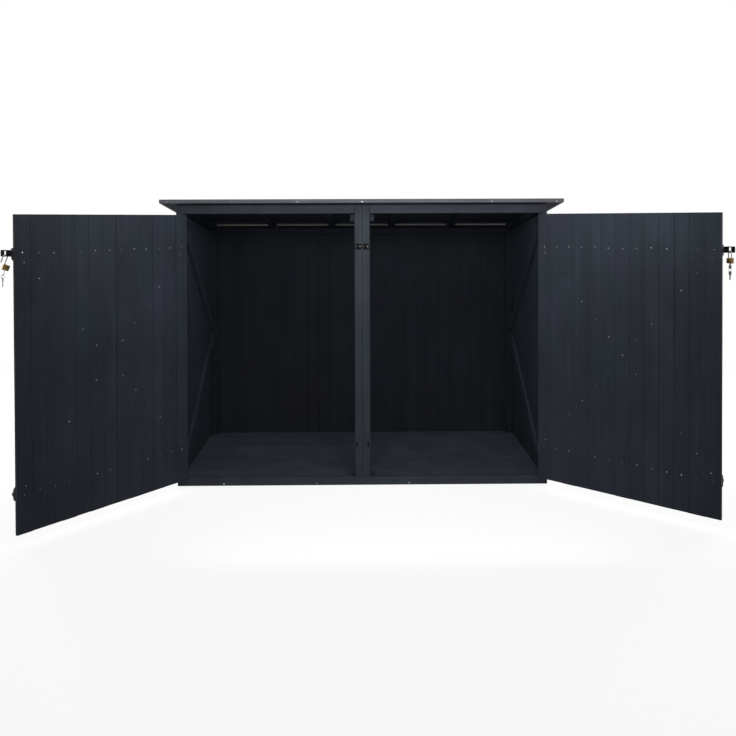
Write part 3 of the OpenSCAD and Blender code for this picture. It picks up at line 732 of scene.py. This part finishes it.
def under_roof(node, along, halves=(None,), finish=None):
    """Timbers whose upper face follows the roof, drawn as a profile of depth and height along X."""
    timber = Timber(node)
    for keep in halves:
        low, high = span(node, SIDEWAYS, keep)
        drop = roof_z(low.x) - high.y
        front, rear = roof_z(low.x) - drop, roof_z(high.x) - drop
        outline = [(low.x, low.y), (high.x, low.y), (high.x, rear), (low.x, front)]
        timber.add(SIDEWAYS, outline, (low.z, high.z), along)
    return timber.piece(finish)


HALVES = (lambda p: p.z < 0, lambda p: p.z > 0)

floor = Timber("floor_deck")
floor.boarding(LEVEL, *span("floor_deck", LEVEL), FLOOR_BOARDS, upright=False)
# Floor boards: lighter with painted light
floor.piece(FLOOR_DECK_LIT_FINISH)
in_runs("floor_bearers", LEVEL, 0, Y)
single("front_sill", FACING, X)
single("front_post_left", FACING, Y)
single("front_post_right", FACING, Y)
in_runs("door_stops", FACING, 1, X)
# Back rail and back posts: darker with painted shade
single("back_top_rail", FACING, X, finish=INSIDE_SHADE_FINISH)
under_roof("back_posts", Y, HALVES, INSIDE_SHADE_FINISH)
under_roof("centre_upright_left", Y, finish=UPRIGHT_FINISH)
under_roof("centre_upright_right", Y, finish=UPRIGHT_FINISH)
under_roof("front_header", Z, HALVES)

# Walls: stained boards, with painted shade on their inner faces

for side, sign in SIDES.items():
    wall = Timber(side + "_wall")
    wall.boarding(SIDEWAYS, *span(side + "_wall", SIDEWAYS), SIDE_BOARDS, top=roof_z)
    # The inner face takes painted shade
    refinish(wall.piece(), WALL_SHADE_FINISH, X * -sign)
wall = Timber("back_wall")
wall.boarding(FACING, *span("back_wall", FACING), BACK_BOARDS)
# The back wall is darker with painted shade on all but its outer face
refinish(wall.piece(INSIDE_SHADE_FINISH), MATERIALS["stained_wood"], Y)


def sloping(node, parts, finish=None):
    """Timbers with upright ends that lean along a wall, each given by the points of it that a part picks."""
    timber = Timber(node)
    for keep in parts:
        low, high = span(node, SIDEWAYS, keep)
        ends = []
        for u in (low.x, high.x):
            end = span(node, SIDEWAYS, lambda p: keep(p) and abs(p.x - u) < NEAR)
            ends.append((end[0].y, end[1].y))
        front, rear = ends
        outline = [(low.x, front[0]), (high.x, rear[0]), (high.x, rear[1]), (low.x, front[1])]
        lean = Vector((high.x - low.x, rear[0] - front[0], 0)).normalized()
        timber.add(SIDEWAYS, outline, (low.z, high.z), lean)
    return timber.piece(finish)


def wall_brace_parts():
    """Picks for the points of each side's upper and lower wall brace, which meet at the back."""
    low, high = span("side_wall_braces", SIDEWAYS)
    back_low, back_high = span("side_wall_braces", SIDEWAYS, lambda p: abs(p.x - high.x) < NEAR)
    joint, middle = (back_low.y + back_high.y) / 2, (low.y + high.y) / 2

    def part(sign, upper):
        def keep(p):
            level = joint if abs(p.x - high.x) < NEAR else middle
            return p.z * sign > 0 and (p.y > level) == upper
        return keep

    return [part(sign, upper) for sign in SIDES.values() for upper in (True, False)]


# Side top rails: darker with painted shade
sloping("side_top_rails", HALVES, INSIDE_SHADE_FINISH)
# Wall braces: painted shade like the inner walls
sloping("side_wall_braces", wall_brace_parts(), WALL_SHADE_FINISH)

# Roof: boards with painted shade underneath and painted light on the last one's underside, rafters, trims and
# felt

deck_low, deck_high = span("roof_deck", ROOF)
deck = Timber("roof_deck")
deck.boarding(ROOF, deck_low, deck_high, ROOF_BOARDS, upright=False)
last_board = deck_high.y - (deck_high.y - deck_low.y) / ROOF_BOARDS
# The deck takes painted shade, and the last board's underside paler painted light
refinish(deck.piece(INSIDE_SHADE_FINISH), EAVES_LIGHT_FINISH, -Z, last_board)
# Rafters and the back trim's inner face: darker with painted shade
in_runs("rafters", ROOF, 0, Y, INSIDE_SHADE_FINISH)
single("roof_trim_front", ROOF, X)
refinish(single("roof_trim_back", ROOF, X), INSIDE_SHADE_FINISH, -Y)
single("roof_trim_left", ROOF, Y)
single("roof_trim_right", ROOF, Y)


def roof_covering():
    """Felt in strips, each lapped over the one below. Gives the (v, w) of the nails in each lap."""
    low, high = span("roof_felt", ROOF)
    bm = bmesh.new()
    laps = []
    pitch = (high.y - low.y) / FELT_STRIPS
    for i in range(FELT_STRIPS):
        front = low.y + i * pitch
        rear = min(high.y, front + pitch + FELT_LAP)
        lift = 0
        if rear < high.y:
            lift = FELT_PLY
            laps.append((rear - FELT_NAIL_IN, low.z + 2 * FELT_PLY))
        rise, lap, raised = rear - FELT_LAP * FELT_RISE, rear - FELT_LAP, low.z + lift
        rings = []
        for v, base in ((front, low.z), (rise, low.z), (lap, raised), (rear, raised)):
            top = base + FELT_PLY
            ring = [(low.x, base), (high.x, base), (high.x, top), (low.x, top)]
            rings.append([bm.verts.new(ROOF @ Vector((u, v, w))) for u, w in ring])
        close_rings(bm, rings)
    add_piece(bm, "roof_felt_strips", "roofing_felt", "shelter", ["roof_felt"])
    return laps


felt_laps = roof_covering()


# Doors

def diagonal_outline(low, high, cut, rising):
    """A brace's outline from corner to corner of the space between the ledges, cut level at its ends."""
    width, rise = high.x - low.x, high.y - low.y
    points = [(0, 0), (cut, 0), (width, rise), (width - cut, rise)]
    return [(low.x + u if rising else high.x - u, low.y + v) for u, v in points]


def split_outline(outline, middle, lean, half):
    """The two parts of an outline on either side of a band along a line through its middle."""
    side = Vector((-lean.y, lean.x))
    parts = []
    for sign in (1, -1):
        points = counter_clockwise(outline)
        heights = [sign * (point - middle).dot(side) - half for point in points]
        kept = []
        for i, point in enumerate(points):
            j = (i + 1) % len(points)
            if heights[i] >= 0:
                kept.append(point)
            if heights[i] * heights[j] < 0:
                kept.append(point.lerp(points[j], heights[i] / (heights[i] - heights[j])))
        parts.append(kept)
    return parts


def door(side):
    """Boards, ledges and braces of a door, with a nail through each board at every ledge and brace."""
    prefix = side + "_door"
    place = door_place(side)
    low, high = span(prefix + "_boards", place)
    boards = Timber(prefix + "_boards")
    boards.boarding(place, low, high, DOOR_BOARDS)
    boards.piece(DOOR_FINISH)

    ledge_runs = runs(prefix + "_ledges", place, 1)
    ledge_low, ledge_high = span(prefix + "_ledges", place)
    depth = (ledge_low.z, ledge_high.z)
    ledges = Timber(prefix + "_ledges")
    for foot, head in ledge_runs:
        start, end = Vector((low.x, foot, depth[0])), Vector((high.x, head, depth[1]))
        ledges.box(place, start, end, X, LEDGE_EDGE)
    ledges.piece(DOOR_FINISH)

    space_low = Vector((low.x, ledge_runs[0][1]))
    space_high = Vector((high.x, ledge_runs[1][0]))
    cut = span(prefix + "_brace", place, lambda p: p.y < space_low.y + NEAR)[1].x - low.x
    width, rise = space_high.x - space_low.x - cut, space_high.y - space_low.y
    lean = Vector((width, rise, 0)).normalized()
    brace = Timber(prefix + "_brace")
    brace.add(place, diagonal_outline(space_low, space_high, cut, True), depth, lean)
    brace.piece(DOOR_FINISH)

    halves = Timber(prefix + "_half_braces")
    outline = diagonal_outline(space_low, space_high, cut, False)
    middle = (space_low + space_high) / 2
    for part in split_outline(outline, middle, lean, cut / 2 * lean.y + BRACE_GAP):
        halves.add(place, part, depth, Vector((-width, rise, 0)).normalized())
    halves.piece(DOOR_FINISH)

    nails = Studs(SEEDS[prefix + "_nails"])
    inward = (place.to_3x3() @ Z).normalized()
    rows = [(foot + head) / 2 for foot, head in ledge_runs]
    shifts = [END_NAIL_SHIFT] + [0] * (DOOR_BOARDS - 2) + [-END_NAIL_SHIFT]
    for u, shift in zip(middles(low.x, high.x, DOOR_BOARDS), shifts):
        in_board = u + shift
        climb = (in_board - middle.x) * rise / width
        spots = [(u, v) for v in rows] + [(in_board, middle.y + climb), (in_board, middle.y - climb)]
        for at, v in spots if abs(climb) > NAIL_STRAY else spots[:-1]:
            bright = ROW_TONES[side] if v == rows[1] else BRACE_TONE
            spot = Vector((at + nails.stray(), v + nails.stray(), high.z))
            nails.add(place @ spot, inward, bright=bright)
    nails.piece(prefix + "_nails", "zinc_steel", prefix)


for side in SIDES:
    door(side)


# Nails of the frame, floor, walls, trims and felt

def trim_marks(low, high, count):
    """The places of nails along a trim, with the first and last one near its ends."""
    length = high - low - 2 * TRIM_NAIL_INSET
    return [low + TRIM_NAIL_INSET + length * i / (count - 1) for i in range(count)]


def frame_nails():
    """Bright nails along the sill and front trim, and duller ones through boards, other trims and felt."""
    nails = Studs(SEEDS["frame_nails"])
    bearers = [(low + high) / 2 for low, high in runs("floor_bearers", LEVEL, 0)]
    sill_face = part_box("front_sill")[0].y
    for x in bearers:
        nails.add(Vector((x, sill_face, SILL_NAIL_Z)), -Y, TRIM_NAIL_R, bright=SILL_NAIL_TONE)
    floor_low, floor_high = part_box("floor_deck")
    for x in bearers:
        for middle in middles(floor_low.y, floor_high.y, FLOOR_BOARDS):
            y = middle + nails.stray()
            nails.add(Vector((x + nails.stray(), y, floor_high.z)), Z)

    low, high = span("roof_trim_front", ROOF)
    rise = low.z + (high.z - low.z) * TRIM_NAIL_RISE
    for u, bright in zip(trim_marks(low.x, high.x, len(TRIM_NAIL_TONES)), TRIM_NAIL_TONES):
        nails.add(ROOF @ Vector((u, low.y, rise)), -Y, TRIM_NAIL_R, bright=bright)
    low, high = span("roof_trim_back", ROOF)
    for u in trim_marks(low.x, high.x, len(TRIM_NAIL_TONES)):
        nails.add(ROOF @ Vector((u, high.y, (low.z + high.z) / 2)), Y)

    for side, sign in SIDES.items():
        low, high = span("roof_trim_" + side, ROOF)
        u = high.x if sign > 0 else low.x
        for v in trim_marks(low.y, high.y, SIDE_TRIM_NAILS):
            nails.add(ROOF @ Vector((u, v, (low.z + high.z) / 2)), X * sign)
        low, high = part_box(side + "_wall")
        outer = high.x if sign > 0 else low.x
        for y in middles(low.y, high.y, SIDE_BOARDS):
            under = roof_z(y)
            for z in (floor_low.z + WALL_NAIL_FOOT, (under + floor_high.z) / 2, under - WALL_NAIL_HEAD):
                nails.add(Vector((outer, y + nails.stray(), z)), X * sign)

    low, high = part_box("back_wall")
    for x in middles(low.x, high.x, BACK_BOARDS):
        for z in (floor_low.z + WALL_NAIL_FOOT, high.z - WALL_NAIL_HEAD):
            nails.add(Vector((x + nails.stray(), high.y, z)), Y)

    low, high = span("roof_felt", ROOF)
    up = Vector((0, ROOF_FALL, 1)).normalized()
    for v, w in felt_laps:
        for u in middles(low.x, high.x, FELT_NAILS):
            nails.add(ROOF @ Vector((u + nails.stray(), v + nails.stray(), w)), up, FELT_NAIL_R)
    nails.piece("frame_nails", "zinc_steel", "shelter")


frame_nails()


# Fittings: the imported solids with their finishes, and the screws that hold them

def plate_screws(name, body, slot, place, plates, radius=SCREW_R, bright=HEAD_TONE):
    """Screws through plates, each given by (u, v) places and the w of its face, which looks along -w."""
    screws = Studs(SEEDS["screws"])
    outward = -(place.to_3x3() @ Z).normalized()
    for spots, face in plates:
        for u, v in spots:
            screws.add(place @ Vector((u, v, face)), outward, radius, SCREW_H, True, bright)
    screws.piece(name, slot, body)


def corners(low, high, inset_u, inset_v):
    """The four corner places of a plate."""
    return [(u, v) for u in (low.x + inset_u, high.x - inset_u) for v in (low.y + inset_v, high.y - inset_v)]


def half_spans(node):
    """The corners of a node's left and right half, each with its sign."""
    return [(sign, *span(node, FACING, lambda p: p.x * sign > 0)) for sign in SIDES.values()]


for side in SIDES:
    place = door_place(side)
    low, high = span(side + "_door_hinge_leaves", place)
    plates = []
    for foot, head in runs(side + "_door_hinge_leaves", place, 1):
        spots = [(high.x - u, (foot + head) / 2 + v) for u, v in LEAF_SCREWS]
        plates.append((spots, high.z - PLATE_T))
    plate_screws(side + "_door_hinge_screws", side + "_door", "zinc_steel", place, plates)
    low, high = span(side + "_hasp_plate", place)
    spots = [(min(u, high.x - HASP_PIN_ROOM), v) for u, v in corners(low, high, *HASP_SCREW_INSET)]
    plates = [(spots, high.z - PLATE_T)]
    low, high = span(side + "_bolt_guide", place)
    plates.append((corners(low, high, *BOLT_SCREW_INSET), high.z - BOLT_PLATE_T))
    plate_screws(side + "_door_fitting_screws", side + "_door", "black_steel", place, plates)

plates = []
for sign, low, high in half_spans("post_hinge_leaves"):
    u = high.x - POST_SCREW_IN if sign > 0 else low.x + POST_SCREW_IN
    for foot, head in runs("post_hinge_leaves", FACING, 1):
        middle = (foot + head) / 2
        plates.append(([(u, middle - POST_SCREW_RISE), (u, middle + POST_SCREW_RISE)], high.z - PLATE_T))
plate_screws("post_hinge_screws", "shelter", "zinc_steel", FACING, plates)

plates = []
for _, low, high in half_spans("hasp_staples"):
    middle = (low.y + high.y) / 2
    spots = [(low.x + STAPLE_SCREW_IN, middle), (high.x - STAPLE_SCREW_IN, middle)]
    plates.append((spots, high.z - PLATE_T))
plate_screws("staple_screws", "shelter", "zinc_steel", FACING, plates, STAPLE_SCREW_R, STAPLE_TONE)

collars = Studs(SEEDS["keeper_collars"])
upright_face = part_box("centre_upright_left")[0].y
for _, low, high in half_spans("bolt_keepers"):
    wire = (high.x - low.x) / 2
    for v in (low.y + wire, high.y - wire):
        collars.add(Vector(((low.x + high.x) / 2, upright_face, v)), -Y, COLLAR_R, COLLAR_H)
collars.piece("keeper_collars", "black_steel", "shelter")

for name, thing in NODES.items():
    slot = SLOTS[name]
    if slot not in ("stained_wood", "trim_wood", "roofing_felt"):
        thing.data.materials.clear()
        thing.data.materials.append(KEY_FINISH if name.endswith("_keys") else MATERIALS[slot])


# Camera, light and floor

def camera():
    """The photograph's view, as a focal length, a shifted principal point and three turns."""
    yaw, pitch, roll = (math.radians(a) for a in (CAMERA_YAW, CAMERA_PITCH, CAMERA_ROLL))
    forward = Vector((math.sin(yaw) * math.cos(pitch), math.cos(yaw) * math.cos(pitch), math.sin(pitch)))
    right = Vector((math.cos(yaw), -math.sin(yaw), 0))
    up = right.cross(forward)
    turned_right = right * math.cos(roll) + up * math.sin(roll)
    turned_up = up * math.cos(roll) - right * math.sin(roll)
    data = bpy.data.cameras.new("camera")
    data.sensor_width = SENSOR
    data.sensor_fit = "HORIZONTAL"
    data.lens = FOCAL / IMAGE * SENSOR
    data.shift_y = (PRINCIPAL_Y - IMAGE / 2) / IMAGE
    seen = bpy.data.objects.new("camera", data)
    seen.matrix_world = axes(turned_right, turned_up, -forward, CAMERA_AT)
    bpy.context.scene.collection.objects.link(seen)
    bpy.context.scene.camera = seen


def soft_light(name, at, aim, size, power):
    """A soft lamp that lights the shelter without being seen itself."""
    data = bpy.data.lights.new(name, "AREA")
    data.shape = "RECTANGLE"
    data.size, data.size_y = size
    data.energy = power
    lamp = bpy.data.objects.new(name, data)
    lamp.location = at
    lamp.visible_camera = False
    lamp.rotation_euler = (Vector(aim) - Vector(at)).to_track_quat("-Z", "Y").to_euler()
    bpy.context.scene.collection.objects.link(lamp)


def seen_directly(tree):
    """1 for camera, glossy and transmission rays, else 0."""
    path = tree.nodes.new("ShaderNodeLightPath")
    total = path.outputs["Is Camera Ray"]
    for name in ("Is Glossy Ray", "Is Transmission Ray"):
        larger = tree.nodes.new("ShaderNodeMath")
        larger.operation = "MAXIMUM"
        tree.links.new(total, larger.inputs[0])
        tree.links.new(path.outputs[name], larger.inputs[1])
        total = larger.outputs[0]
    return total


def surroundings():
    """White where it is seen, and an even soft fill for the light."""
    world = bpy.data.worlds.new("surroundings")
    world.use_nodes = True
    bpy.context.scene.world = world
    tree = world.node_tree
    background = tree.nodes["Background"]
    background.inputs["Color"].default_value = (1, 1, 1, 1)
    level = tree.nodes.new("ShaderNodeMapRange")
    level.inputs["To Min"].default_value = FILL_STRENGTH
    level.inputs["To Max"].default_value = 1
    tree.links.new(seen_directly(tree), level.inputs["Value"])
    tree.links.new(level.outputs[0], background.inputs["Strength"])


def ground():
    """A pale floor that keeps the shadow near the shelter and fades to white further out."""
    bm = bmesh.new()
    bmesh.ops.create_circle(bm, cap_ends=True, radius=FLOOR_R, segments=FLOOR_SEGMENTS)
    mesh = bpy.data.meshes.new("ground")
    bm.to_mesh(mesh)
    bm.free()
    plane = bpy.data.objects.new("ground", mesh)
    bpy.context.scene.collection.objects.link(plane)
    s = Shader("ground")
    s.surface.inputs["Roughness"].default_value = 1
    s.surface.inputs["Specular IOR Level"].default_value = 0
    seen = seen_directly(s.tree)
    tint = s.node("MapRange", Value=seen, To_Min=FLOOR_BOUNCE, To_Max=FLOOR_WHITE).outputs[0]
    s.put(s.surface, "Base Color", s.node("CombineColor", i0=tint, i1=tint, i2=tint).outputs[0])
    at = s.stretched(s.node("TexCoord").outputs["Object"], FLOOR_STRETCH)
    away = s.node("VectorMath", {"operation": "LENGTH"}, i0=at).outputs["Value"]
    glow = s.math("MULTIPLY", s.between(away, *FLOOR_FADE, FLOOR_GLOW, 1.0), seen)
    white = s.node("Emission", Color=(1, 1, 1, 1), Strength=1.0)
    mixed = s.node("MixShader", Fac=glow, i1=s.surface.outputs[0], i2=white.outputs[0])
    s.tree.links.new(mixed.outputs[0], s.tree.nodes["Material Output"].inputs["Surface"])
    mesh.materials.append(s.material)
    plane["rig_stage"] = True


camera()
for name, lamp in LAMPS.items():
    soft_light(name, **lamp)
surroundings()
ground()
bpy.context.scene.view_settings.view_transform = "Standard"

bpy.context.view_layer.update()
low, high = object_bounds()
